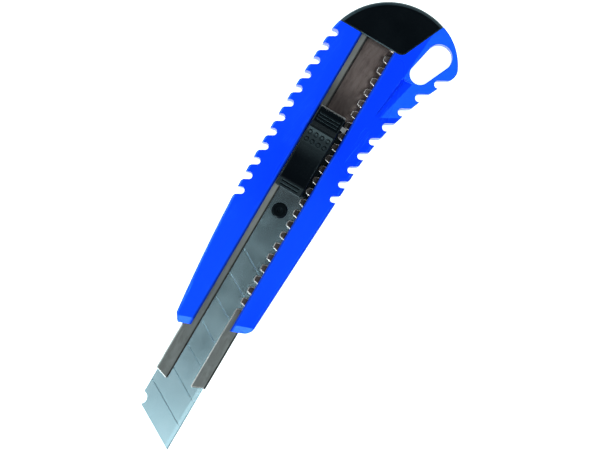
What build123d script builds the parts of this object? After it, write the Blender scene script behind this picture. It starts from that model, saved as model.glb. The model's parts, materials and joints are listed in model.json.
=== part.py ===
from build123d import *
import math
import os

# Snap-off blade knife, lying on its flat back. All sizes are in millimetres and degrees.
# Working frame: +X runs from the end cap to the blade's tip, with x = 0 at the front of the nose;
# y = 0 is the middle of the steel channel, with +Y towards its toothed flange; z = 0 is the back.

# --- handle ---
HANDLE_THICK = 11.0
BACK_WALL = 4.6
SLOT_HALF = 6.65
SLOT_ROUND = 1.1
EDGE_ROUND = 1.2
CROWN_REAR, CROWN_MID, CROWN_FRONT = (-119.6, -17.05), (-66.0, -17.9), (-2.9, -13.4)
NOSE_TIP, NOSE_CORNER = (0.0, -11.35), (-9.26, 13.83)
BELLY_REAR, FLARE_MID = (-70.8, 16.43), (-96.0, 18.8)
HEEL_CORNER, HEEL_MID, HEEL_TOP = (-127.63, 30.79), (-135.1, 26.1), (-139.3, 20.4)
REAR_MID = (-138.2, -4.5)
NOSE_CORNER_ROUND, HEEL_CORNER_ROUND, NOSE_TIP_ROUND = 4.3, 4.2, 0.5
NOSE_FACET_LENGTH, NOSE_FACET_SLOPE = 2.5, 42.0

# --- finger grips: slots cut through both long edges; each belly slot is (place, width) ---
GRIP_DEPTH, GRIP_LEAN, GRIP_FLARE, GRIP_LIP_ROUND = 2.9, 25.0, 4.0, 1.6
CROWN_GRIP_WIDTH, CROWN_GRIPS, CROWN_GRIP_FIRST, CROWN_GRIP_PITCH = 2.48, 12, -51.65, 6.02
BELLY_GRIPS = ((-67.3, 2.18), (-73.43, 2.24), (-79.63, 2.35), (-85.74, 2.38), (-92.4, 2.4), (-99.3, 2.7),
               (-106.93, 2.62), (-114.57, 2.7), (-122.35, 2.6))

# --- lanyard hole and the thinner lobe round it ---
HOLE_FRONT, HOLE_FRONT_RADIUS = (-121.35, 18.85), 3.8
HOLE_REAR, HOLE_REAR_RADIUS = (-130.2, 21.75), 4.75
LOBE_BACK = 3.6
LOBE_BACK_EDGE, LOBE_BACK_FRONT = 14.6, -114.0
WING_APEX = (-99.8, 13.4, HANDLE_THICK)
WING_SIDE_SLOPE, WING_FRONT_SLOPE = 9.0, 11.0
SCOOP_SLOPE, SCOOP_RAIL_SLOPE, SCOOP_WING_SLOPE, SCOOP_END_SLOPE = 9.5, 50.0, 13.0, 60.0
SCOOP_RAIL = (-99.8, 12.3, HANDLE_THICK)
SCOOP_END = (-116.8, 16.5, HANDLE_THICK - 0.6)
SCOOP_LOW_EDGE = (-115.2, 20.4, HANDLE_THICK)

# --- steel channel, folded from sheet ---
SHEET = 0.4
CHANNEL_HALF = 9.65
CHANNEL_HEIGHT = 3.4
CHANNEL_BEND = 0.8
CHANNEL_FRONT, CHANNEL_REAR = 17.9, -130.0
CHANNEL_FLOOR_FRONT = 17.0
FLANGE_NOSE_LEAD = 1.9
PLAIN_EDGE = -4.2
TOOTH_TIP, TOOTH_ROOT = 4.5, 7.2
RACK_PITCH, RACK_GAPS, RACK_FIRST = 4.61, 24, -16.3
TOOTH_TIP_WIDTH, TOOTH_ROOT_WIDTH, TOOTH_ROUND, RACK_ROOT_ROUND = 2.3, 3.5, 0.85, 0.3
FLANGE_EDGE_CHAMFER = 0.25

# --- blade ---
BLADE_HALF = 9.0
BLADE_THICK = 0.5
BLADE_TIP_X, BLADE_TAIL_X = 41.7, -61.6
BLADE_ANGLE = 60.0
SCORE_FIRST, SCORE_PITCH, SCORES = 32.5, 10.0, 7
SCORE_WIDTH, SCORE_DEPTH = 0.36, 0.14
GRIND_WIDTH, GRIND_HALF_THICK = 1.7, 0.11
HONE_WIDTH, EDGE_HALF_THICK = 0.4, 0.03
SPINE_BITE, SPINE_BITE_RADIUS = (30.0, -9.1), 2.4
PEG_X, PEG_RADIUS, PEG_HOLE_RADIUS = -53.3, 2.8, 2.95
TAIL_CHAMFER = 2.0

# --- blade carrier, which slides inside the channel ---
SLIDE_CLEARANCE = 0.1
CARRIER_HALF = 8.9
CARRIER_THIN = 1.75
CARRIER_FRONT, CARRIER_STEP, CARRIER_REAR = -47.2, -61.9, -92.8
PEG_TOP_ABOVE_BLADE = 0.7
LUG_LENGTH, LUG_WIDTH, LUG_DEPTH = 6.0, 5.0, 1.4
LUG_X = (-68.5, -78.5)

# --- thumb slide ---
THUMB_LOW_Y, THUMB_HIGH_Y = -6.4, 4.2
THUMB_FRONT, THUMB_REAR = -60.9, -93.2
THUMB_BLOCK_REAR, THUMB_BLOCK_TOP = -64.5, 12.1
THUMB_DISH_X, THUMB_DISH_Z = -74.0, 10.7
THUMB_RISE_X, THUMB_RISE_Z = -79.2, 11.3
THUMB_CREST_X, THUMB_CREST_Z = -85.0, 13.7
THUMB_DECK_X, THUMB_DECK_Z = -87.4, 12.0
THUMB_EDGE_ROUND = 0.5
NECK_FRONT, NECK_REAR = -64.2, -82.6
NECK_LOW_Y, NECK_HIGH_Y = -3.9, 4.2
BLOCK_SLOTS_X, BLOCK_SLOT_LENGTH, BLOCK_SLOT_WIDTH, BLOCK_SLOT_DEPTH = (-61.9, -63.2), 7.4, 0.6, 0.5
DOT_ROWS, DOT_ROW_PITCH, DOT_COLUMNS, DOT_COLUMN_PITCH = 4, 2.45, 2, 2.75
DOT_FIRST_X, DOT_RADIUS, DOT_RECESS_RADIUS, DOT_RECESS_DEPTH = -83.3, 0.72, 1.05, 0.3
DECK_RIBS_X, DECK_RIB_LENGTH, DECK_RIB_WIDTH, DECK_RIB_HEIGHT = (-88.7, -89.9, -91.1), 8.2, 0.5, 0.3

# --- lock spring, a steel leaf whose pawl drops into a gap of the rack ---
SPRING_THICK = 0.35
SPRING_REAR, SPRING_FRONT, SPRING_LIP_HEIGHT = -93.95, -83.6, 1.5
SPRING_LOW_Y, SPRING_HIGH_Y = -6.2, 4.0
LEAF_TIP_X, LEAF_TIP_RISE, LEAF_HALF = -75.5, 1.05, 2.2
LEAF_MIDDLE_Y = -1.0
PAWL_GAP, PAWL_WIDTH, PAWL_TIP_Y = 16, 1.7, 6.15

# --- end cap ---
CAP_FRONT = -123.5
CAP_CORNER_Y, CAP_CORNER_RADIUS, CAP_SIDE_ANGLE = 10.05, 3.0, 23.9
CAP_EDGE_ROUND = 2.0
PARTING_CHAMFER = 0.3
TONGUE_LENGTH, TONGUE_HALF, TONGUE_LOW, TONGUE_HIGH = 9.8, 5.9, 1.2, 3.4
TONGUE_CLEARANCE = 0.1

# --- back of the handle ---
PANEL_LENGTH, PANEL_WIDTH, PANEL_DEPTH, PANEL_RADIUS, PANEL_X = 84.0, 15.0, 0.5, 3.0, -66.0
PANEL_RIBS, PANEL_RIB_PITCH, PANEL_RIB_WIDTH, PANEL_RIB_LENGTH = 12, 5.0, 1.6, 11.0

# --- levels and lengths worked out from the sizes above ---
CHANNEL_TOP = BACK_WALL + CHANNEL_HEIGHT
FLANGE_UNDER = CHANNEL_TOP - SHEET
CARRIER_BOTTOM = BACK_WALL + SHEET + SLIDE_CLEARANCE
CARRIER_TOP = FLANGE_UNDER - SLIDE_CLEARANCE
BLADE_BOTTOM = CARRIER_BOTTOM + CARRIER_THIN
BLADE_TOP = BLADE_BOTTOM + BLADE_THICK
THUMB_BOTTOM = CHANNEL_TOP + 0.05
THUMB_MIDDLE_Y = (THUMB_LOW_Y + THUMB_HIGH_Y) / 2
THUMB_WIDTH = THUMB_HIGH_Y - THUMB_LOW_Y
SPRING_BOTTOM = CHANNEL_TOP + 0.1
BLADE_LEAN = 2 * BLADE_HALF / math.tan(math.radians(BLADE_ANGLE))
REACH = 400.0


def block(x, y, z):
    """A rectangular block between the given (low, high) pairs."""
    size = [high - low for low, high in (x, y, z)]
    middle = [(high + low) / 2 for low, high in (x, y, z)]
    return Pos(*middle) * Box(*size)


def above_plane(point, downhill, slope):
    """Everything over a plane through the point that falls at the slope towards downhill."""
    fall = Vector(downhill[0], downhill[1], 0).normalized() * math.sin(math.radians(slope))
    normal = fall + Vector(0, 0, math.cos(math.radians(slope)))
    return Plane(origin=point, z_dir=normal) * Pos(0, 0, REACH / 2) * Box(REACH, REACH, REACH)


def prism(points, low, high):
    """A polygon in the XY plane, extruded between two levels."""
    return extrude(Pos(0, 0, low) * make_face(Polyline(*points, close=True)), high - low)


def side_profile(points, low_y, high_y):
    """A closed outline of (x, z) points, extruded across the knife from low_y to high_y."""
    face = make_face(Polyline(*[(x, 0, z) for x, z in points], close=True))
    return Pos(0, high_y, 0) * extrude(face, high_y - low_y, dir=(0, -1, 0))


def silhouette():
    """Outline of the handle and its cap together, seen from the front."""
    line = [
        ThreePointArc(CROWN_REAR, CROWN_MID, CROWN_FRONT),
        Polyline(CROWN_FRONT, NOSE_TIP, NOSE_CORNER, BELLY_REAR),
        ThreePointArc(BELLY_REAR, FLARE_MID, HEEL_CORNER),
        ThreePointArc(HEEL_CORNER, HEEL_MID, HEEL_TOP),
        ThreePointArc(HEEL_TOP, REAR_MID, CROWN_REAR),
    ]
    face = make_face(Wire([edge for part in line for edge in part.edges()]))
    rounds = {NOSE_TIP: NOSE_TIP_ROUND, NOSE_CORNER: NOSE_CORNER_ROUND, HEEL_CORNER: HEEL_CORNER_ROUND}
    for corner, radius in rounds.items():
        face = fillet(face.vertices().sort_by_distance(corner)[0], radius)
    return face


def rounded_blank(radius):
    """The silhouette at full thickness, with its front and back edges rounded."""
    blank = extrude(silhouette(), HANDLE_THICK)
    rims = blank.edges().filter_by(lambda e: abs(e.bounding_box().size.Z) < 1e-6)
    return fillet(rims, radius)


def cap_zone(low=-1.0, high=HANDLE_THICK + 1.0):
    """The space behind the parting line between the handle and the cap."""
    run = 60.0
    side = (CAP_FRONT - run, CAP_CORNER_Y + run * math.tan(math.radians(CAP_SIDE_ANGLE)))
    corners = [(CAP_FRONT, -40), (CAP_FRONT, CAP_CORNER_Y), side, (CAP_FRONT - run, -40)]
    face = make_face(Polyline(*corners, close=True))
    corner = face.vertices().sort_by_distance((CAP_FRONT, CAP_CORNER_Y, 0))[0]
    return extrude(Pos(0, 0, low) * fillet(corner, CAP_CORNER_RADIUS), high - low)


def grip_lip(mouth_half, slope):
    """Plan of what rounds the blunt corner between a slot's wall and the edge of the handle."""
    wall_turn = math.radians(90 + GRIP_LEAN + GRIP_FLARE)
    wall = Vector(math.cos(wall_turn), math.sin(wall_turn))
    edge = Vector(math.cos(slope), math.sin(slope))
    outward = Vector(edge.Y, -edge.X)
    start = Vector(mouth_half, 0).rotate(Axis.Z, GRIP_LEAN)
    corner = start - wall * (start.cross(edge).Z / wall.cross(edge).Z)
    half_angle = (wall_turn - slope) / 2
    tangent = GRIP_LIP_ROUND / math.tan(half_angle)
    sagitta = GRIP_LIP_ROUND / math.sin(half_angle) - GRIP_LIP_ROUND
    on_wall, on_edge = corner + wall * tangent, corner + edge * tangent
    middle = corner + (edge + wall).normalized() * sagitta
    sides = Polyline(on_edge, on_edge + outward * 2, corner + outward * 2 - edge, on_wall - edge, on_wall)
    return make_face(Wire(sides.edges() + ThreePointArc(on_wall, middle, on_edge).edges()))


def grip_slot(x, y, slope, width, facing):
    """One leaning, round-ended grip slot through the edge at (x, y), open towards facing * -Y. All slots
    lean the same way in plan, so each tooth has a hooked corner on one side and a round one on the other."""
    half = width / 2
    length = GRIP_DEPTH / math.cos(math.radians(GRIP_LEAN))
    flare = math.tan(math.radians(GRIP_FLARE))
    wide = half + (length + 2) * flare
    shape = make_face(Polyline((-half, 0), (half, 0), (wide, -length - 2), (-wide, -length - 2), close=True))
    root = shape.vertices().filter_by(lambda v: abs(v.Y) < 1e-6)
    tool = Rot(0, 0, GRIP_LEAN) * Pos(0, length) * fillet(root, half)
    tool += grip_lip(half + length * flare, slope)
    return Pos(x, y, -1) * Rot(0, 0, 0 if facing > 0 else 180) * extrude(tool, HANDLE_THICK + 2)


def circle_through(first, second, third):
    """Centre and radius of the circle through three points."""
    (ax, ay), (bx, by), (cx, cy) = first, second, third
    d = 2 * (ax * (by - cy) + bx * (cy - ay) + cx * (ay - by))
    sa, sb, sc = ax * ax + ay * ay, bx * bx + by * by, cx * cx + cy * cy
    x = (sa * (by - cy) + sb * (cy - ay) + sc * (ay - by)) / d
    y = (sa * (cx - bx) + sb * (ax - cx) + sc * (bx - ax)) / d
    return x, y, math.hypot(ax - x, ay - y)


def edge_at(x, arc, side):
    """Height and slope of an arc of the outline at x, on its lower (-1) or upper (+1) side in plan."""
    cx, cy, radius = arc
    rise = side * math.sqrt(radius ** 2 - (x - cx) ** 2)
    return cy + rise, math.atan((cx - x) / rise)


def crown_grips():
    """The slots along the crown."""
    arc = circle_through(CROWN_REAR, CROWN_MID, CROWN_FRONT)
    slots = []
    for index in range(CROWN_GRIPS):
        x = CROWN_GRIP_FIRST - index * CROWN_GRIP_PITCH
        y, slope = edge_at(x, arc, -1)
        slots.append(grip_slot(x, y, slope, CROWN_GRIP_WIDTH, 1))
    return slots


def belly_grips():
    """The slots along the belly, which spread out and widen as it flares towards the heel."""
    arc = circle_through(BELLY_REAR, FLARE_MID, HEEL_CORNER)
    slots = []
    for x, width in BELLY_GRIPS:
        y, slope = edge_at(x, arc, -1)
        slots.append(grip_slot(x, y, slope, width, -1))
    return slots


def lanyard_hole():
    """The slanted hole in the lobe, wider at its rear end."""
    outline = Pos(*HOLE_FRONT) * Circle(HOLE_FRONT_RADIUS) + Pos(*HOLE_REAR) * Circle(HOLE_REAR_RADIUS)
    return extrude(Pos(0, 0, -1) * make_hull(outline.edges()), HANDLE_THICK + 2)


def wing_relief():
    """What is planed off the front of the flared wing, so that it falls away to the lobe."""
    side = above_plane(WING_APEX, (0.06, 1.0), WING_SIDE_SLOPE)
    front = above_plane(WING_APEX, (-1.0, 0.25), WING_FRONT_SLOPE)
    return side & front


def scoop():
    """The three-cornered hollow that runs down from the rail towards the lanyard hole."""
    floor = above_plane(WING_APEX, (-1.0, 0.1), SCOOP_SLOPE)
    rail_wall = above_plane(SCOOP_RAIL, (0.105, 1.0), SCOOP_RAIL_SLOPE)
    wing_wall = above_plane(SCOOP_LOW_EDGE, (-0.36, -1.0), SCOOP_WING_SLOPE)
    end_wall = above_plane(SCOOP_END, (1.0, 0.0), SCOOP_END_SLOPE)
    return floor & rail_wall & wing_wall & end_wall


def lobe_relief():
    """What is taken off the back of the lobe, up to a sloping shoulder beside the back wall."""
    shoulder = mirror(above_plane((0, LOBE_BACK_EDGE, 0), (0, 1), 45), Plane.XY)
    return shoulder & block((-160, LOBE_BACK_FRONT), (0, 40), (-1, LOBE_BACK))


def nose_facet():
    """The bevel across the front ends of both rails, parallel to the slanted nose."""
    run = Vector(NOSE_TIP[0] - NOSE_CORNER[0], NOSE_TIP[1] - NOSE_CORNER[1], 0).normalized()
    forward = Vector(-run.Y, run.X, 0)
    start = Vector(*NOSE_TIP, HANDLE_THICK) - forward * NOSE_FACET_LENGTH
    return above_plane(start, (forward.X, forward.Y), NOSE_FACET_SLOPE)


def back_panel():
    """The shallow panel in the back, without the cross ribs that stand in it."""
    outline = RectangleRounded(PANEL_LENGTH, PANEL_WIDTH, PANEL_RADIUS)
    first = -(PANEL_RIBS - 1) / 2 * PANEL_RIB_PITCH
    for index in range(PANEL_RIBS):
        rib = RectangleRounded(PANEL_RIB_WIDTH, PANEL_RIB_LENGTH, PANEL_RIB_WIDTH * 0.49)
        outline -= Pos(first + index * PANEL_RIB_PITCH, 0) * rib
    return Pos(PANEL_X, 0, -1) * extrude(outline, PANEL_DEPTH + 1)


def handle_body():
    """The moulded handle: back wall, two rails that lap over the channel, grips and lobe."""
    body = rounded_blank(EDGE_ROUND) - cap_zone()
    body -= wing_relief()
    body -= scoop()
    body -= nose_facet()
    groove = block((CHANNEL_REAR, 10), (-CHANNEL_HALF, CHANNEL_HALF), (BACK_WALL, CHANNEL_TOP))
    slot = block((CHANNEL_REAR, 10), (-SLOT_HALF, SLOT_HALF), (CHANNEL_TOP - 1, HANDLE_THICK + 1))
    body -= groove
    body -= slot
    lips = body.edges().filter_by(Axis.X).filter_by(lambda e: e.center().Z > HANDLE_THICK - 0.01
                                                    and abs(abs(e.center().Y) - SLOT_HALF) < 0.01)
    body = fillet(lips, SLOT_ROUND)
    body -= lobe_relief()
    body -= lanyard_hole()
    for grip in crown_grips() + belly_grips():
        body -= grip
    socket_end = CAP_FRONT + TONGUE_LENGTH + 0.3
    half = TONGUE_HALF + TONGUE_CLEARANCE
    body -= block((CAP_FRONT - 1, socket_end), (-half, half),
                  (TONGUE_LOW - TONGUE_CLEARANCE, TONGUE_HIGH + TONGUE_CLEARANCE))
    body -= back_panel()
    return body


def toothed_edge():
    """Plan of the toothed flange: rounded teeth between evenly spaced gaps."""
    front = [(CHANNEL_FRONT, TOOTH_TIP), (CHANNEL_FRONT - FLANGE_NOSE_LEAD, CHANNEL_HALF - CHANNEL_BEND)]
    plate = make_face(Polyline((CHANNEL_REAR, TOOTH_TIP), *front, (CHANNEL_REAR, CHANNEL_HALF - CHANNEL_BEND),
                               close=True))
    mouth = (RACK_PITCH - TOOTH_TIP_WIDTH) / 2
    root = (RACK_PITCH - TOOTH_ROOT_WIDTH) / 2
    for index in range(RACK_GAPS):
        x = RACK_FIRST - index * RACK_PITCH
        plate -= make_face(Polyline((x - mouth, TOOTH_TIP), (x + mouth, TOOTH_TIP),
                                    (x + root, TOOTH_ROOT), (x - root, TOOTH_ROOT), close=True))
    corners = plate.vertices().filter_by(lambda v: CHANNEL_REAR + 1 < v.X < RACK_FIRST + mouth + 1e-3)
    plate = fillet(corners.filter_by(lambda v: abs(v.Y - TOOTH_TIP) < 1e-6), TOOTH_ROUND)
    corners = plate.vertices().filter_by(lambda v: abs(v.Y - TOOTH_ROOT) < 1e-6)
    return fillet(corners, RACK_ROOT_ROUND)


def blade_channel():
    """The steel channel: a floor, two folded sides, a plain flange and a toothed flange."""
    length = CHANNEL_FRONT - CHANNEL_REAR + 5
    outer = RectangleRounded(2 * CHANNEL_HALF, CHANNEL_HEIGHT, CHANNEL_BEND)
    inner = RectangleRounded(2 * (CHANNEL_HALF - SHEET), CHANNEL_HEIGHT - 2 * SHEET, CHANNEL_BEND - SHEET)
    section = Plane.YZ * (outer - inner)
    tube = Pos(CHANNEL_REAR, 0, BACK_WALL + CHANNEL_HEIGHT / 2) * extrude(section, length)
    tube -= block((CHANNEL_REAR - 1, 30), (PLAIN_EDGE, CHANNEL_HALF - CHANNEL_BEND), (FLANGE_UNDER - 0.2, 12))
    tube += extrude(Pos(0, 0, FLANGE_UNDER) * toothed_edge(), SHEET)
    lead = FLANGE_NOSE_LEAD
    tip = CHANNEL_FRONT + lead
    ahead = [(CHANNEL_FRONT, -CHANNEL_HALF - 1), (CHANNEL_FRONT, -CHANNEL_HALF), (tip, PLAIN_EDGE),
             (tip, 0), (CHANNEL_FRONT, 0), (CHANNEL_FRONT, TOOTH_TIP),
             (CHANNEL_FRONT - lead, CHANNEL_HALF), (CHANNEL_FRONT - lead, CHANNEL_HALF + 1),
             (30, CHANNEL_HALF + 1), (30, -CHANNEL_HALF - 1)]
    tube -= prism(ahead, BACK_WALL - 1, CHANNEL_TOP + 1)
    tube -= block((CHANNEL_FLOOR_FRONT, 30), (-CHANNEL_HALF + CHANNEL_BEND, CHANNEL_HALF - CHANNEL_BEND),
                  (BACK_WALL - 1, BACK_WALL + 1))
    corner = tube.edges().filter_by(Axis.Z).sort_by_distance((tip, PLAIN_EDGE, CHANNEL_TOP))[0]
    tube = fillet(corner, 0.8)
    corner = tube.edges().filter_by(Axis.Z).sort_by_distance((CHANNEL_FRONT, TOOTH_TIP, CHANNEL_TOP))[0]
    tube = fillet(corner, 0.5)
    rims = tube.edges().group_by(Axis.Z)[-1]
    rims = [e for e in rims if abs(e.center().Y) < CHANNEL_HALF - CHANNEL_BEND - 0.05
            and e.center().X > CHANNEL_REAR + 0.1]
    return chamfer(rims, FLANGE_EDGE_CHAMFER)


def blade_blank():
    """The whole blade in one piece: ground edge, front angle, spine bite, score lines, peg hole."""
    middle = (BLADE_BOTTOM + BLADE_TOP) / 2
    half = BLADE_THICK / 2
    upper = [(-BLADE_HALF, half), (BLADE_HALF - GRIND_WIDTH, half),
             (BLADE_HALF - HONE_WIDTH, GRIND_HALF_THICK), (BLADE_HALF, EDGE_HALF_THICK)]
    outline = upper + [(y, -z) for y, z in reversed(upper)]
    section = make_face(Polyline(*[(0, y, middle + z) for y, z in outline], close=True))
    bar = Pos(BLADE_TAIL_X, 0, 0) * extrude(section, BLADE_TIP_X - BLADE_TAIL_X, dir=(1, 0, 0))
    plan = [(BLADE_TIP_X, BLADE_HALF), (BLADE_TIP_X - BLADE_LEAN, -BLADE_HALF),
            (BLADE_TAIL_X + TAIL_CHAMFER, -BLADE_HALF), (BLADE_TAIL_X, -BLADE_HALF + TAIL_CHAMFER),
            (BLADE_TAIL_X, BLADE_HALF - TAIL_CHAMFER), (BLADE_TAIL_X + TAIL_CHAMFER, BLADE_HALF)]
    bar &= prism(plan, BLADE_BOTTOM - 1, BLADE_TOP + 1)
    bar -= Pos(*SPINE_BITE, BLADE_BOTTOM) * Cylinder(SPINE_BITE_RADIUS, 4)
    bar -= Pos(PEG_X, 0, BLADE_BOTTOM) * Cylinder(PEG_HOLE_RADIUS, 4)
    for index in range(SCORES):
        bar -= score_groove(SCORE_FIRST - index * SCORE_PITCH)
    return bar


def score_groove(edge_x):
    """A V groove on the front face, from the spine to the start of the ground edge."""
    half = SCORE_WIDTH / 2
    shape = make_face(Polyline((-half, 0), (half, 0), (0, -SCORE_DEPTH), close=True))
    length = (2 * BLADE_HALF - GRIND_WIDTH) / math.sin(math.radians(BLADE_ANGLE)) + 1
    tool = extrude(Plane.XZ * shape, length, dir=(0, -1, 0))
    start_y = BLADE_HALF - GRIND_WIDTH
    start_x = edge_x - GRIND_WIDTH / math.tan(math.radians(BLADE_ANGLE))
    return Pos(start_x, start_y, BLADE_TOP) * Rot(0, 0, -(90 - BLADE_ANGLE)) * tool


def blade_pieces():
    """The blade's snap-off segments, from the tip back, and the tang that the peg holds."""
    blank = blade_blank()
    lean = BLADE_LEAN * (BLADE_HALF + 1) / BLADE_HALF / 2
    middles = [SCORE_FIRST - index * SCORE_PITCH - BLADE_LEAN / 2 for index in range(SCORES)]
    bounds = [BLADE_TIP_X + 20] + middles + [BLADE_TAIL_X - 20]
    pieces = {}
    for index in range(SCORES + 1):
        front, rear = bounds[index], bounds[index + 1]
        zone = [(front + lean, BLADE_HALF + 1), (front - lean, -BLADE_HALF - 1),
                (rear - lean, -BLADE_HALF - 1), (rear + lean, BLADE_HALF + 1)]
        name = f"blade_segment_{index + 1}" if index < SCORES else "blade_tang"
        pieces[name] = blank & prism(zone, BLADE_BOTTOM - 1, BLADE_TOP + 1)
    return pieces


def lug(x, slack=0.0):
    """A lug that ties the thumb slide to the carrier, or its socket if slack is given."""
    half_x, half_y = LUG_LENGTH / 2 + slack, LUG_WIDTH / 2 + slack
    return block((x - half_x, x + half_x), (-half_y, half_y), (CARRIER_TOP - LUG_DEPTH - slack, CARRIER_TOP))


def blade_carrier():
    """The plastic sledge inside the channel, with the peg that holds the blade."""
    full = block((CARRIER_REAR, CARRIER_STEP), (-CARRIER_HALF, CARRIER_HALF), (CARRIER_BOTTOM, CARRIER_TOP))
    thin = block((CARRIER_STEP - 1, CARRIER_FRONT), (-CARRIER_HALF, CARRIER_HALF),
                 (CARRIER_BOTTOM, BLADE_BOTTOM))
    body = full + thin
    uprights = body.edges().filter_by(Axis.Z)
    body = fillet([e for e in uprights if e.center().X > CARRIER_FRONT - 1], 2.0)
    peg_height = BLADE_THICK + PEG_TOP_ABOVE_BLADE
    peg = Cylinder(PEG_RADIUS, peg_height + 0.5, align=(Align.CENTER, Align.CENTER, Align.MIN))
    peg = chamfer(peg.edges().group_by(Axis.Z)[-1], 0.35)
    peg -= Pos(0, 0, peg_height + 0.5) * Cone(0.6, 1.5, 1.2)
    body += Pos(PEG_X, 0, BLADE_BOTTOM - 0.5) * peg
    for x in LUG_X:
        body -= lug(x, 0.05)
    return body


def thumb_top(x):
    """Height of the thumb slide's dished top at x."""
    if x > THUMB_RISE_X:
        reach = (x - THUMB_DISH_X) / (THUMB_BLOCK_REAR - THUMB_DISH_X)
        back = (x - THUMB_DISH_X) / (THUMB_RISE_X - THUMB_DISH_X)
        if x > THUMB_DISH_X:
            return THUMB_DISH_Z + (THUMB_BLOCK_TOP - 0.2 - THUMB_DISH_Z) * reach ** 2
        return THUMB_DISH_Z + (THUMB_RISE_Z - THUMB_DISH_Z) * back ** 2
    share = (x - THUMB_RISE_X) / (THUMB_CREST_X - THUMB_RISE_X)
    return THUMB_RISE_Z + (THUMB_CREST_Z - THUMB_RISE_Z) * share


def thumb_outline():
    """Side view of the thumb slide: front block, dish, crest and rear deck."""
    dish = Spline((THUMB_BLOCK_REAR, 0, THUMB_BLOCK_TOP - 0.2), (THUMB_DISH_X, 0, THUMB_DISH_Z),
                  (THUMB_RISE_X, 0, THUMB_RISE_Z))
    front = Polyline((THUMB_REAR, 0, THUMB_DECK_Z - 0.3), (THUMB_REAR, 0, THUMB_BOTTOM),
                     (THUMB_FRONT, 0, THUMB_BOTTOM), (THUMB_FRONT, 0, THUMB_BLOCK_TOP - 0.8),
                     (THUMB_BLOCK_REAR + 0.5, 0, THUMB_BLOCK_TOP),
                     (THUMB_BLOCK_REAR, 0, THUMB_BLOCK_TOP - 0.2))
    back = Polyline((THUMB_RISE_X, 0, THUMB_RISE_Z), (THUMB_CREST_X, 0, THUMB_CREST_Z),
                    (THUMB_CREST_X - 0.8, 0, THUMB_CREST_Z - 0.3), (THUMB_DECK_X, 0, THUMB_DECK_Z),
                    (THUMB_REAR, 0, THUMB_DECK_Z - 0.3))
    return make_face(Wire(front.edges() + dish.edges() + back.edges()))


def thumb_slide():
    """The moulded thumb piece, with its neck through the channel's slot and two lugs."""
    body = Pos(0, THUMB_HIGH_Y, 0) * extrude(thumb_outline(), THUMB_WIDTH, dir=(0, -1, 0))
    rims = [e for e in body.edges() if e.bounding_box().size.Y < 1e-6 and e.center().Z > THUMB_BOTTOM + 0.5]
    body = fillet(rims, THUMB_EDGE_ROUND)
    slot_half = BLOCK_SLOT_LENGTH / 2
    for x in BLOCK_SLOTS_X:
        half = BLOCK_SLOT_WIDTH / 2
        body -= block((x - half, x + half), (THUMB_MIDDLE_Y - slot_half, THUMB_MIDDLE_Y + slot_half),
                      (THUMB_BLOCK_TOP - 0.3 - BLOCK_SLOT_DEPTH, THUMB_BLOCK_TOP + 1))
    first_y = THUMB_MIDDLE_Y - (DOT_ROWS - 1) / 2 * DOT_ROW_PITCH
    for column in range(DOT_COLUMNS):
        x = DOT_FIRST_X + column * DOT_COLUMN_PITCH
        tilt = math.degrees(math.atan2(thumb_top(x - 0.1) - thumb_top(x + 0.1), 0.2))
        for row in range(DOT_ROWS):
            place = Pos(x, first_y + row * DOT_ROW_PITCH, thumb_top(x)) * Rot(0, tilt, 0)
            body -= place * Cylinder(DOT_RECESS_RADIUS, 2 * DOT_RECESS_DEPTH)
            dome = Sphere(DOT_RADIUS) & block((-1, 1), (-1, 1), (-1, DOT_RADIUS * 0.75))
            body += place * Pos(0, 0, -DOT_RECESS_DEPTH) * dome
    for x in DECK_RIBS_X:
        half, rib_half = DECK_RIB_WIDTH / 2, DECK_RIB_LENGTH / 2
        body += block((x - half, x + half), (THUMB_MIDDLE_Y - rib_half, THUMB_MIDDLE_Y + rib_half),
                      (THUMB_DECK_Z - 1, THUMB_DECK_Z + DECK_RIB_HEIGHT - 0.15))
    body -= block((SPRING_REAR - 1, SPRING_FRONT + 0.1), (THUMB_LOW_Y - 1, THUMB_HIGH_Y + 1),
                  (THUMB_BOTTOM - 1, SPRING_BOTTOM + SPRING_THICK + 0.05))
    leaf_roof = SPRING_BOTTOM + SPRING_THICK + LEAF_TIP_RISE + 0.15
    body -= block((SPRING_FRONT - 1, LEAF_TIP_X + 0.6),
                  (LEAF_MIDDLE_Y - LEAF_HALF - 0.2, LEAF_MIDDLE_Y + LEAF_HALF + 0.2),
                  (SPRING_BOTTOM - 0.02, leaf_roof))
    body += block((NECK_REAR, NECK_FRONT), (NECK_LOW_Y, NECK_HIGH_Y), (CARRIER_TOP, SPRING_BOTTOM - 0.02))
    for x in LUG_X:
        body += lug(x)
    return body


def lock_spring():
    """The steel leaf under the thumb slide, with a turned-up rear lip; its pawl lies in a gap of the rack."""
    low, high = SPRING_BOTTOM, SPRING_BOTTOM + SPRING_THICK
    body = block((SPRING_REAR, SPRING_FRONT), (SPRING_LOW_Y, SPRING_HIGH_Y), (low, high))
    leaf = [(SPRING_FRONT - 1, low), (SPRING_FRONT, low), (LEAF_TIP_X, low + LEAF_TIP_RISE),
            (LEAF_TIP_X, high + LEAF_TIP_RISE), (SPRING_FRONT, high), (SPRING_FRONT - 1, high)]
    body += side_profile(leaf, LEAF_MIDDLE_Y - LEAF_HALF, LEAF_MIDDLE_Y + LEAF_HALF)
    body += block((SPRING_REAR, SPRING_REAR + SPRING_THICK), (SPRING_LOW_Y, SPRING_HIGH_Y - 0.4),
                  (low, low + SPRING_LIP_HEIGHT))
    gap_x = RACK_FIRST - PAWL_GAP * RACK_PITCH
    across = (gap_x - PAWL_WIDTH / 2, gap_x + PAWL_WIDTH / 2)
    body += block(across, (SPRING_HIGH_Y - 1, PAWL_TIP_Y), (low, high))
    body += block(across, (PAWL_TIP_Y - SPRING_THICK, PAWL_TIP_Y), (FLANGE_UNDER + 0.05, high))
    return body


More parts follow.
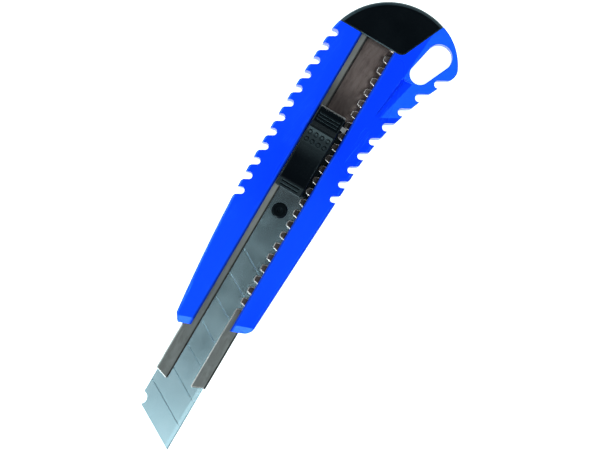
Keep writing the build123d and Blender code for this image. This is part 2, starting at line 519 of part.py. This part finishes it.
def end_cap():
    """The cap that closes the rear, with a pocket for the channel and a tongue into the handle."""
    body = rounded_blank(CAP_EDGE_ROUND) & cap_zone()
    front_edges = [e for e in body.edges() if abs(e.center().Z - HANDLE_THICK) < 1e-6
                   and e.bounding_box().size.X < 1e-6]
    body = chamfer(front_edges, PARTING_CHAMFER)
    slack = TONGUE_CLEARANCE
    body -= block((CHANNEL_REAR - 0.2, CAP_FRONT + 1), (-CHANNEL_HALF - slack, CHANNEL_HALF + slack),
                  (BACK_WALL - slack, CHANNEL_TOP + slack))
    body += block((CAP_FRONT - 1, CAP_FRONT + TONGUE_LENGTH), (-TONGUE_HALF, TONGUE_HALF),
                  (TONGUE_LOW, TONGUE_HIGH))
    return body


def assembly():
    """Every piece of the knife by name, in the working frame."""
    pieces = {
        "handle_body": handle_body(),
        "blade_channel": blade_channel(),
        "blade_carrier": blade_carrier(),
        "thumb_slide": thumb_slide(),
        "lock_spring": lock_spring(),
        "end_cap": end_cap(),
    }
    pieces.update(blade_pieces())
    return pieces


def main():
    """Moves the knife so that its origin is under the middle of its box, and writes the pieces."""
    pieces = assembly()
    box = Compound(children=[Compound(piece.solids()) for piece in pieces.values()]).bounding_box()
    shift = Pos(-(box.min.X + box.max.X) / 2, -(box.min.Y + box.max.Y) / 2, -box.min.Z)
    os.makedirs("parts", exist_ok=True)
    for name, piece in pieces.items():
        solids = (shift * piece).solids()
        export_step(solids[0] if len(solids) == 1 else Compound(solids), f"parts/{name}.step")
    print("shift", shift.position)


main()
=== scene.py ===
import json
import math

import bpy
from mathutils import Matrix, Vector


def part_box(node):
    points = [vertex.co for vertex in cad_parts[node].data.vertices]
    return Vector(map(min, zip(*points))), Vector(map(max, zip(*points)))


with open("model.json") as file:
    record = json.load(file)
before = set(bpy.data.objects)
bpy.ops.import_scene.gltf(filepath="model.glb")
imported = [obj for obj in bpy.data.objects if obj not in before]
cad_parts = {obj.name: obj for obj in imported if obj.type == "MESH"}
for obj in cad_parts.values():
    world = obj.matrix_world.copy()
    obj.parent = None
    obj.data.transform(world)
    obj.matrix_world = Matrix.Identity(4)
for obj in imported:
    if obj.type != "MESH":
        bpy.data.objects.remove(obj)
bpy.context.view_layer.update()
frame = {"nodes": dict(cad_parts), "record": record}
nodes = frame["nodes"]
MM = 0.001

# ---------------------------------------------------------------- places, worked out from the frame
NOSE_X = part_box("handle_body")[1].x
CHANNEL_LOW, CHANNEL_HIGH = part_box("blade_channel")
MIDDLE_Y = (CHANNEL_LOW.y + CHANNEL_HIGH.y) / 2


def behind_nose(*distances):
    """X values at distances in millimetres behind the handle's nose."""
    return [NOSE_X - distance * MM for distance in distances]


def beside_middle(*distances):
    """Y values at distances in millimetres from the middle plane, positive on the side of the rack."""
    return [MIDDLE_Y + distance * MM for distance in distances]


# ---------------------------------------------------------------- camera, looking almost straight down
CAMERA_HEIGHT = 0.900
CAMERA_FOOT = Vector((NOSE_X - 25 * MM, MIDDLE_Y + 9 * MM, 0))
AIM_POINT = Vector((NOSE_X - 52.4 * MM, MIDDLE_Y + 9.05 * MM, 8 * MM))
KNIFE_TURN_DEGREES = 120.5
LENS_MM, SENSOR_MM = 148.3, 36.0
CLIP_NEAR, CLIP_FAR = 0.01, 10.0

# ---------------------------------------------------------------- stage and lights, in metres and watts
TABLE_SIZE = 4.0
SCREEN_RADIUS, SCREEN_HEIGHT = 1.95, 1.2
PALE_GREY = (0.86, 0.86, 0.86, 1.0)
TABLE_GLOW, TABLE_GLOW_STRENGTH = (0.82, 0.98, 1.0, 1.0), 1.15
SCREEN_GLOW, SCREEN_GLOW_STRENGTH = (1.0, 1.0, 1.0, 1.0), 1.0
SURROUND, SURROUND_STRENGTH = (0.93, 0.97, 1.0, 1.0), 0.06
MIDDLE = (0.0, MIDDLE_Y, 0.0)
COOL, WHITE = (0.90, 0.98, 1.0), (1.0, 1.0, 1.0)
SOFTBOXES = (
    # name, place, aimed at, size, power, colour
    ("overhead_nose", (0.50, 0.10, 0.92), (0.20, 0.05, 0.0), (0.52, 0.80), 1.9, COOL),
    ("overhead_wing", (-0.15, 0.38, 0.88), (-0.05, 0.02, 0.0), (0.40, 0.25), 1.8, COOL),
    ("key_over_nose", (1.05, -0.20, 0.75), MIDDLE, (0.6, 0.9), 13.0, COOL),
    ("low_nose", (1.25, 0.28, 0.15), MIDDLE, (1.3, 0.3), 10.5, COOL),
    ("low_rear", (-1.30, 0.10, 0.25), MIDDLE, (1.4, 0.45), 1.5, COOL),
    ("low_crown", (0.0, -1.40, 0.22), MIDDLE, (1.4, 0.35), 8.0, COOL),
    ("side_crown", (0.05, -1.05, 0.62), MIDDLE, (2.0, 1.0), 12.0, COOL),
    ("side_belly", (-0.1, 1.05, 0.70), MIDDLE, (1.1, 0.5), 0.6, WHITE),
    ("rear_fill", (-1.1, 0.0, 0.60), MIDDLE, (0.9, 0.5), 2.5, WHITE),
)

# ---------------------------------------------------------------- node tree helpers
BEVEL_SAMPLES = 6
SCRATCH_WIDTH = 0.02


class Tree:
    """A short way to write a material's node tree."""

    def __init__(self, name):
        self.material = bpy.data.materials.new(name)
        self.material.use_nodes = True
        self.tree = self.material.node_tree
        self.shader = self.tree.nodes["Principled BSDF"]
        self.place = self.add("ShaderNodeTexCoord").outputs["Object"]

    def add(self, kind, **settings):
        node = self.tree.nodes.new(kind)
        for key, value in settings.items():
            setattr(node, key, value)
        return node

    def link(self, source, target):
        self.tree.links.new(source, target)

    def feed(self, **sources):
        """Links values to the shader's inputs, named with _ for a space."""
        for key, source in sources.items():
            self.link(source, self.shader.inputs[key.replace("_", " ")])

    def set(self, **values):
        """Sets the shader's inputs, named with _ for a space."""
        for key, value in values.items():
            self.shader.inputs[key.replace("_", " ")].default_value = value

    def stretch(self, scale, turn=0.0):
        """Object coordinates in millimetres, turned about Z and scaled, for a texture with a direction."""
        turned = self.add("ShaderNodeVectorRotate", rotation_type="Z_AXIS")
        turned.inputs["Angle"].default_value = math.radians(turn)
        self.link(self.place, turned.inputs["Vector"])
        node = self.add("ShaderNodeVectorMath", operation="MULTIPLY")
        node.inputs[1].default_value = [value / MM for value in scale]
        self.link(turned.outputs["Vector"], node.inputs[0])
        return node.outputs["Vector"]

    def axes(self, vector=None):
        """The X, Y and Z of a vector, by default of the place."""
        node = self.add("ShaderNodeSeparateXYZ")
        self.link(self.place if vector is None else vector, node.inputs[0])
        return node.outputs

    def flat_normal(self):
        """The true surface normal, without bumps or rounding by the shader."""
        return self.add("ShaderNodeNewGeometry").outputs["Normal"]

    def noise(self, vector, detail, rough=0.5, distortion=0.0):
        """Noise whose size and direction come from its vector."""
        node = self.add("ShaderNodeTexNoise")
        node.inputs["Scale"].default_value = 1.0
        node.inputs["Detail"].default_value = detail
        node.inputs["Roughness"].default_value = rough
        node.inputs["Distortion"].default_value = distortion
        self.link(vector, node.inputs["Vector"])
        return node.outputs["Fac"]

    def ramp(self, value, low, high, out_low=0.0, out_high=1.0):
        """A smooth step from one output to the other while the value goes from low to high."""
        node = self.add("ShaderNodeMapRange", interpolation_type="SMOOTHSTEP")
        ends = {"From Min": low, "From Max": high, "To Min": out_low, "To Max": out_high}
        for name, number in ends.items():
            node.inputs[name].default_value = number
        self.link(value, node.inputs["Value"])
        return node.outputs["Result"]

    def fall(self, value, low, high):
        """One below low, zero above high."""
        return self.ramp(value, low, high, 1.0, 0.0)

    def band(self, value, rise, fall, top=1.0):
        """Zero, then top between the two ranges, then zero again."""
        return self.times(self.ramp(value, *rise, 0.0, top), self.fall(value, *fall))

    def calculate(self, operation, first, second=0.0):
        node = self.add("ShaderNodeMath", operation=operation)
        for slot, value in zip(node.inputs, (first, second)):
            if isinstance(value, (int, float)):
                slot.default_value = value
            else:
                self.link(value, slot)
        return node.outputs["Value"]

    def times(self, first, second):
        return self.calculate("MULTIPLY", first, second)

    def plus(self, first, second):
        return self.calculate("ADD", first, second)

    def inverse(self, mask):
        return self.calculate("SUBTRACT", 1.0, mask)

    def distance(self, value, centre):
        return self.calculate("ABSOLUTE", self.calculate("SUBTRACT", value, centre))

    def mix(self, factor, first, second):
        """A colour between two, where the factor runs from zero to one."""
        node = self.add("ShaderNodeMix", data_type="RGBA")
        factor_slot, first_slot, second_slot = (node.inputs[index] for index in (0, 6, 7))
        self.link(factor, factor_slot)
        for slot, value in ((first_slot, first), (second_slot, second)):
            if isinstance(value, tuple):
                slot.default_value = (*value, 1.0)
            else:
                self.link(value, slot)
        return node.outputs[2]

    def paint(self, colour, mask, tint, strength=1.0):
        """The colour, covered by a tint where the mask is one."""
        return self.mix(self.times(mask, strength), colour, tint)

    def rounded(self, radius):
        """The surface normal as if sharp edges were rounded by a radius in millimetres."""
        node = self.add("ShaderNodeBevel", samples=BEVEL_SAMPLES)
        node.inputs["Radius"].default_value = radius * MM
        return node.outputs["Normal"]

    def edges(self, radius, low=0.01, high=0.12):
        """One close to sharp edges and zero on flat faces."""
        product = self.add("ShaderNodeVectorMath", operation="DOT_PRODUCT")
        self.link(self.rounded(radius), product.inputs[0])
        self.link(self.flat_normal(), product.inputs[1])
        return self.ramp(self.inverse(product.outputs["Value"]), low, high)

    def bump(self, heights, radius=0.2):
        """Slightly rounded edges and bumps from (height, depth in millimetres) pairs, one on another."""
        normal = self.rounded(radius)
        for height, depth in heights:
            node = self.add("ShaderNodeBump")
            node.inputs["Strength"].default_value = 1.0
            node.inputs["Distance"].default_value = depth * MM
            self.link(height, node.inputs["Height"])
            self.link(normal, node.inputs["Normal"])
            normal = node.outputs["Normal"]
        self.feed(Normal=normal)

    def scratches(self, turn, density, seed):
        """Sparse fine scratches in one direction, in patches that cover more at a higher density."""
        moved = self.add("ShaderNodeVectorMath", operation="ADD")
        moved.inputs[1].default_value = (seed, seed * 1.7, seed * 0.6)
        self.link(self.stretch((0.03, 2.2, 2.2), turn), moved.inputs[0])
        wave = self.noise(moved.outputs["Vector"], 2.0, 0.55)
        line = self.fall(self.distance(wave, 0.5), SCRATCH_WIDTH * 0.2, SCRATCH_WIDTH)
        cloud = self.noise(self.stretch((0.05, 0.12, 0.12)), 2.0)
        patch = self.ramp(cloud, 1.0 - density, 1.05 - density)
        return self.times(line, patch)


# ---------------------------------------------------------------- materials


def blue_plastic():
    """Moulded blue ABS: satin skin with a fine grain and faint clouds, a painted highlight on steep
    slopes, edges paler from wear and from a painted highlight, and painted shade, darker and duller,
    beside the slot."""
    t = Tree("moulded_blue")
    deep, bright = (0.0018, 0.037, 0.96), (0.0028, 0.048, 0.98)
    slope_highlight_blue, edge_wear_and_highlight_blue = (0.02, 0.25, 0.98), (0.008, 0.14, 0.98)
    slot_shade, scratch_blue = (0.0006, 0.010, 0.25), (0.03, 0.16, 0.98)

    cloud = t.noise(t.stretch((0.02, 0.06, 0.06)), 0.0)
    grain = t.noise(t.stretch((3.5, 3.5, 3.5)), 3.0, 0.6)
    waves = t.noise(t.stretch((0.12, 0.12, 0.12)), 1.0)
    scratch = t.scratches(8, 0.42, 3.1)
    # painted shade in the slot's mouth: the skin beside the slot is darkened
    slot_lip = t.fall(t.distance(t.axes()["Y"], MIDDLE_Y), 6.9 * MM, 7.9 * MM)
    # painted highlight: steep slopes are paled as if they caught the light
    slope = t.band(t.axes(t.flat_normal())["Z"], (0.04, 0.2), (0.42, 0.50))

    colour = t.mix(t.ramp(cloud, 0.35, 0.65), deep, bright)
    # painted highlight on steep slopes
    colour = t.paint(colour, t.times(slope, t.inverse(slot_lip)), slope_highlight_blue, 0.7)
    # edges paled partly by wear and partly by a painted highlight
    colour = t.paint(colour, t.times(t.edges(0.3), t.inverse(slot_lip)), edge_wear_and_highlight_blue, 0.35)
    # painted shade beside the slot
    colour = t.paint(colour, slot_lip, slot_shade, 0.85)
    colour = t.paint(colour, scratch, scratch_blue, 0.12)

    rough = t.plus(t.ramp(cloud, 0.3, 0.7, 0.27, 0.33), t.times(scratch, 0.10))
    t.feed(Base_Color=colour, Roughness=t.plus(rough, t.times(slot_lip, 0.5)))
    t.set(IOR=1.5, Specular_IOR_Level=0.5, Specular_Tint=(0.08, 0.78, 1.0, 1.0))
    t.bump([(grain, 0.012), (scratch, -0.01), (waves, 0.012)])
    return t.material


def black_plastic():
    """Black nylon-like plastic with a fine spark-eroded grain and slightly grey edges, from wear and a
    painted highlight, a painted highlight on the cap's slopes, and duller on the front of the slide's
    crest, which the thumb rubs."""
    t = Tree("moulded_black")
    deep, bright = (0.0008, 0.0015, 0.0025), (0.0014, 0.0025, 0.0040)
    edge_wear_and_highlight_grey, cap_slope_highlight_grey = (0.014, 0.026, 0.034), (0.016, 0.034, 0.044)

    cloud = t.noise(t.stretch((0.08, 0.08, 0.08)), 3.0)
    grain = t.noise(t.stretch((4.5, 4.5, 4.5)), 3.0, 0.65)
    along = t.axes()["X"]
    slope = t.band(t.axes(t.flat_normal())["Z"], (0.45, 0.62), (0.90, 0.97))
    on_cap = t.fall(along, *behind_nose(122, 121))
    rubbed = t.band(along, behind_nose(83.4, 82.2), behind_nose(79.5, 77.5), 0.35)

    colour = t.mix(cloud, deep, bright)
    # grey edges: partly wear, partly a painted highlight
    colour = t.paint(colour, t.edges(0.25), edge_wear_and_highlight_grey, 0.75)
    # painted highlight on the cap's sloping rim
    colour = t.paint(colour, t.times(slope, on_cap), cap_slope_highlight_grey, 0.7)

    t.feed(Base_Color=colour, Roughness=t.plus(t.ramp(cloud, 0.3, 0.7, 0.20, 0.26), rubbed))
    t.set(IOR=1.5, Specular_IOR_Level=0.20, Specular_Tint=(0.7, 0.95, 1.0, 1.0))
    t.bump([(grain, 0.02)])
    return t.material


def channel_steel():
    """Dull cold-rolled strip, drawn along its length: a brown oily film in the trough and the same brown
    on the rack, painted sheen on the plain flange towards the nose, painted shadow on the rack and behind
    the slide, painted highlights on the sheared edges, and painted shade on edges facing the belly and
    along the plain flange's inner lip."""
    t = Tree("rolled_channel_steel")
    clean_dark, clean_light = (0.155, 0.165, 0.158), (0.215, 0.235, 0.228)
    brown_dark, brown_light = (0.14, 0.104, 0.096), (0.28, 0.222, 0.205)
    flange_sheen_steel, drawn_steel, edge_glint = (0.345, 0.355, 0.33), (0.31, 0.30, 0.29), (0.96, 0.95, 0.93)
    rack_shadow_black, slide_shadow_black = (0.03, 0.026, 0.025), (0.012, 0.011, 0.011)
    shaded_edge, lip_shade = (0.03, 0.028, 0.025), (0.03, 0.03, 0.028)

    drawn = t.noise(t.stretch((0.10, 5.0, 5.0)), 4.0, 0.6)
    stain = t.noise(t.stretch((0.12, 0.30, 0.30)), 5.0, 0.65, 0.4)
    along, across, up = t.axes()
    trough = t.fall(up, CHANNEL_LOW.z + 1.0 * MM, CHANNEL_HIGH.z - 0.6 * MM)
    plain_flange = t.fall(across, *beside_middle(-4.7, -4.3))
    # painted sheen: the plain flange is paler towards the nose
    flange_sheen = t.times(plain_flange, t.fall(along, *behind_nose(62, 15)))
    toothed_flange = t.ramp(across, *beside_middle(3.5, 4.2))
    rack = t.times(toothed_flange, t.fall(along, *behind_nose(19, 10)))
    # painted shadow on the rack teeth, darkest beside the slide
    rack_shadow = t.times(t.ramp(along, *behind_nose(60, 40), 0.98, 0.75),
                   t.ramp(along, *behind_nose(100, 92), 0.45, 1.0))
    rack_shadow = t.times(rack_shadow, t.inverse(trough))
    # painted shade on edges that face the belly side, away from the light
    facing_belly = t.ramp(t.axes(t.rounded(0.45))["Y"], 0.08, 0.30)
    # painted shadow on the channel just behind the slide
    slide_shadow = t.band(along, behind_nose(109, 98), behind_nose(90, 80), 0.6)
    slide_shadow = t.times(slide_shadow, t.fall(across, *beside_middle(3.0, 4.5)))
    # painted shade along the plain flange's inner lip
    inner_lip = t.band(across, beside_middle(-4.95, -4.70), beside_middle(-4.20, -3.90))

    clean = t.mix(t.ramp(stain, 0.35, 0.68), clean_dark, clean_light)
    brown = t.mix(t.ramp(stain, 0.30, 0.66), brown_dark, brown_light)
    # painted sheen on the plain flange
    colour = t.paint(clean, flange_sheen, flange_sheen_steel)
    colour = t.mix(t.calculate("MAXIMUM", trough, t.times(rack, 0.9)), colour, brown)
    # painted shadow on the rack teeth
    colour = t.paint(colour, t.times(rack, rack_shadow), rack_shadow_black)
    colour = t.paint(colour, t.ramp(drawn, 0.45, 0.7), drawn_steel, 0.25)
    # painted highlights: sharp edges painted near white, as if catching the light
    colour = t.paint(colour, t.edges(0.32, 0.008, 0.08), edge_glint, 0.95)
    # painted shade on edges facing the belly
    colour = t.paint(colour, facing_belly, shaded_edge)
    # painted shadow behind the slide
    colour = t.paint(colour, slide_shadow, slide_shadow_black)
    # painted shade along the inner lip
    colour = t.paint(colour, inner_lip, lip_shade, 0.8)

    rough = t.plus(t.ramp(drawn, 0.3, 0.7, 0.30, 0.40), t.ramp(stain, 0.3, 0.7, 0.08, 0.0))
    t.feed(Base_Color=colour, Roughness=rough)
    t.set(Metallic=1.0)
    t.bump([(drawn, 0.006), (t.scratches(4, 0.5, 7.7), -0.004), (stain, 0.01)], 0.4)
    return t.material


def blade_steel():
    """Ground carbon steel: fine grinding lines, faint oily clouding, a painted shadow that darkens the
    blade towards the slide, and darker, duller score lines and edges."""
    t = Tree("ground_blade_steel")
    cool_dark, cool_light, ground_line = (0.43, 0.62, 0.69), (0.50, 0.70, 0.77), (0.60, 0.79, 0.86)
    tang_shadow_grey, groove_grey = (0.165, 0.135, 0.135), (0.085, 0.125, 0.145)

    fine = t.noise(t.stretch((0.25, 9.0, 9.0), 30), 3.0, 0.6)
    cloud = t.noise(t.stretch((0.07, 0.10, 0.10)), 4.0, 0.5)
    # painted shadow on the blade towards the slide
    tang_shadow = t.ramp(t.axes()["X"], *behind_nose(64, 48), 0.55, 0.0)
    groove = t.edges(0.15, 0.005, 0.04)

    colour = t.mix(t.ramp(cloud, 0.3, 0.7), cool_dark, cool_light)
    colour = t.paint(colour, t.ramp(fine, 0.45, 0.75), ground_line, 0.3)
    # painted shadow near the slide
    colour = t.paint(colour, tang_shadow, tang_shadow_grey)
    colour = t.paint(colour, groove, groove_grey, 0.85)

    rough = t.plus(t.ramp(cloud, 0.3, 0.7, 0.18, 0.23), t.times(groove, 0.45))
    t.feed(Base_Color=colour, Roughness=rough)
    t.set(Metallic=1.0)
    t.bump([(fine, 0.0022), (t.scratches(62, 0.4, 1.3), -0.002)], 0.0)
    return t.material


def spring_steel():
    """Bright hardened strip of the lock spring, drawn along Y."""
    t = Tree("bright_spring_steel")
    drawn = t.noise(t.stretch((2.5, 0.1, 2.5)), 2.0, 0.5)
    colour = t.mix(drawn, (0.42, 0.43, 0.43), (0.52, 0.54, 0.54))
    t.feed(Base_Color=colour, Roughness=t.ramp(drawn, 0.3, 0.7, 0.30, 0.38))
    t.set(Metallic=1.0)
    t.bump([(drawn, 0.0008)], 0.08)
    return t.material


def dress_nodes():
    """Gives every CAD node the material of its slot."""
    makers = {
        "handle_blue": blue_plastic,
        "black_plastic": black_plastic,
        "channel_steel": channel_steel,
        "blade_steel": blade_steel,
        "spring_steel": spring_steel,
    }
    finished = {slot: make() for slot, make in makers.items()}
    for part in frame["record"]["subparts"]:
        obj = nodes[part["node"]]
        obj.data.materials.clear()
        obj.data.materials.append(finished[part["material_slot"]])


# ---------------------------------------------------------------- stage, lights and camera


def floor():
    """A plain pale table that glows a little, so that its shadows stay light."""
    bpy.ops.mesh.primitive_plane_add(size=TABLE_SIZE)
    table = bpy.context.object
    table.name = "table_top"
    t = Tree("pale_table")
    t.set(Base_Color=PALE_GREY, Roughness=0.9, Specular_IOR_Level=0.1)
    t.set(Emission_Color=TABLE_GLOW, Emission_Strength=TABLE_GLOW_STRENGTH)
    table.data.materials.append(t.material)
    table.visible_diffuse = False


def backdrop():
    """A low white screen all round, which only closes the horizon and lights nothing."""
    bpy.ops.mesh.primitive_cylinder_add(
        vertices=96, radius=SCREEN_RADIUS, depth=SCREEN_HEIGHT, end_fill_type="NOTHING",
        location=(0.0, 0.0, SCREEN_HEIGHT / 2))
    screen = bpy.context.object
    screen.name = "screen"
    t = Tree("white_screen")
    t.set(Base_Color=PALE_GREY, Emission_Color=SCREEN_GLOW, Emission_Strength=SCREEN_GLOW_STRENGTH)
    screen.data.materials.append(t.material)
    screen.visible_diffuse = False
    screen.visible_glossy = False
    screen.visible_shadow = False


def softbox(name, place, target, size, power, colour):
    """A rectangular area light aimed at a point."""
    light = bpy.data.lights.new(name, "AREA")
    light.shape = "RECTANGLE"
    light.size, light.size_y = size
    light.energy = power
    light.color = colour
    obj = bpy.data.objects.new(name, light)
    bpy.context.scene.collection.objects.link(obj)
    obj.location = place
    obj.rotation_mode = "QUATERNION"
    obj.rotation_quaternion = (Vector(target) - Vector(place)).to_track_quat("-Z", "Y")


def studio():
    """Soft light, strongest from the blade's end and the crown side, in a dim surround."""
    world = bpy.data.worlds.new("dim_surround")
    world.use_nodes = True
    background = world.node_tree.nodes["Background"]
    background.inputs["Color"].default_value = SURROUND
    background.inputs["Strength"].default_value = SURROUND_STRENGTH
    bpy.context.scene.world = world
    for settings in SOFTBOXES:
        softbox(*settings)


def camera():
    """Looks down on the knife, which lies across the picture with its blade towards the lower left."""
    data = bpy.data.cameras.new("camera")
    data.lens, data.sensor_width = LENS_MM, SENSOR_MM
    data.clip_start, data.clip_end = CLIP_NEAR, CLIP_FAR
    obj = bpy.data.objects.new("camera", data)
    bpy.context.scene.collection.objects.link(obj)
    place = CAMERA_FOOT + Vector((0, 0, CAMERA_HEIGHT))
    turn = math.radians(KNIFE_TURN_DEGREES)
    ahead = (AIM_POINT - place).normalized()
    right = Vector((math.cos(turn), math.sin(turn), 0))
    right = (right - ahead * right.dot(ahead)).normalized()
    up = right.cross(ahead)
    obj.matrix_world = Matrix.Translation(place) @ Matrix((right, up, -ahead)).transposed().to_4x4()
    bpy.context.scene.camera = obj


dress_nodes()
floor()
backdrop()
studio()
camera()
bpy.context.scene.view_settings.view_transform = "Standard"
